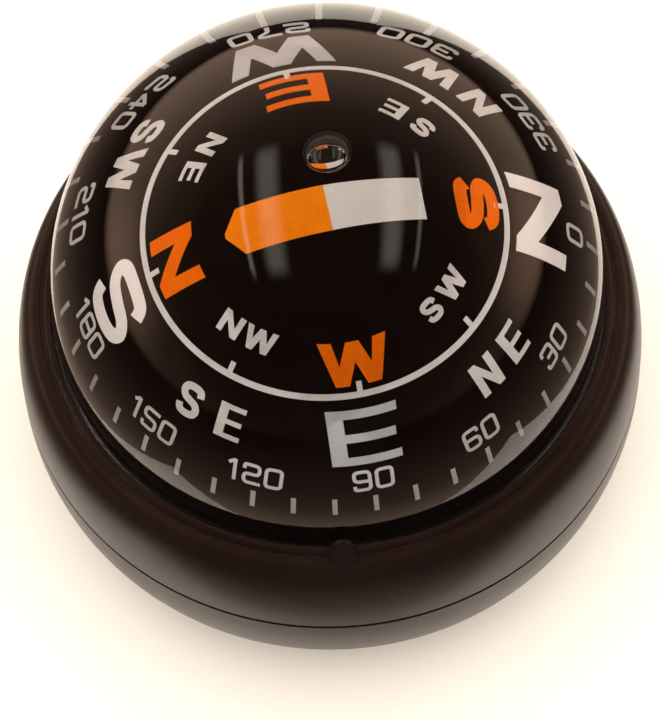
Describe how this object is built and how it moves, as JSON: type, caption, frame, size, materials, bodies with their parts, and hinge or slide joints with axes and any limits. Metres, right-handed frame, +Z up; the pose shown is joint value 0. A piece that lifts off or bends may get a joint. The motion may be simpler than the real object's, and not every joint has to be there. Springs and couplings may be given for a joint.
{
  "type": "handheld bearing compass",
  "caption": "Ball-shaped marine hand bearing compass with a clear liquid-filled dome over a domed rotating card, in a round soft black body with a flat foot.",
  "frame": {"origin": "centre of the foot ring's underside, on the surface the compass stands on", "axes": "+Z up through the dome's apex, -Y towards the lubber mark that the user reads from, +X to the user's right"},
  "size_m": [0.084, 0.084, 0.069],
  "materials": {
    "clear_acrylic": "polished clear acrylic",
    "seal_rubber": "matte seal rubber",
    "black_plastic": "fine moulded texture",
    "stainless_steel": "turned",
    "brass": "turned",
    "aluminium": "turned",
    "card_black": "satin black with printed scale in white and orange",
    "print_white": "printed ink",
    "print_orange": "printed ink",
    "magnet": "nickel-plated sintered magnet",
    "sapphire": "polished",
    "soft_black": "soft-touch matte black",
    "foot_rubber": "matte rubber"
  },
  "bodies": {
    "housing": {"dome": "clear_acrylic", "dome_gasket": "seal_rubber", "capsule_bowl": "black_plastic", "diaphragm": "seal_rubber", "diaphragm_ring": "black_plastic", "diaphragm_screws": "stainless_steel", "fill_plug": "brass", "fill_plug_oring": "seal_rubber", "gimbal_fork": "black_plastic", "fork_screws": "stainless_steel", "trunnion_pins": "stainless_steel", "bezel_ring": "soft_black", "body_cup": "soft_black", "base_plate": "black_plastic", "base_screws": "stainless_steel", "foot_ring": "foot_rubber"},
    "gimbal_ring": {"gimbal_ring": "aluminium", "yoke_pins": "stainless_steel"},
    "pendulum": {"pendulum_yoke": "brass", "counterweight": "brass", "pivot_pin": "stainless_steel"},
    "card": {"card_dome": "card_black", "card_float": "card_black", "card_magnets": "magnet", "jewel_holder": "brass", "jewel_cup": "sapphire", "pivot_retainer": "brass"}
  },
  "joints": [
    {"name": "ring_tilt", "type": "hinge", "parent": "housing", "child": "gimbal_ring", "pos_m": [0, 0, 0.034], "axis": [1, 0, 0], "range_deg": [-20, 20]},
    {"name": "pendulum_tilt", "type": "hinge", "parent": "gimbal_ring", "child": "pendulum", "pos_m": [0, 0, 0.034], "axis": [0, 1, 0], "range_deg": [-20, 20]},
    {"name": "card_spin", "type": "hinge", "parent": "pendulum", "child": "card", "pos_m": [0, 0, 0.034], "axis": [0, 0, 1], "continuous": true}
  ]
}
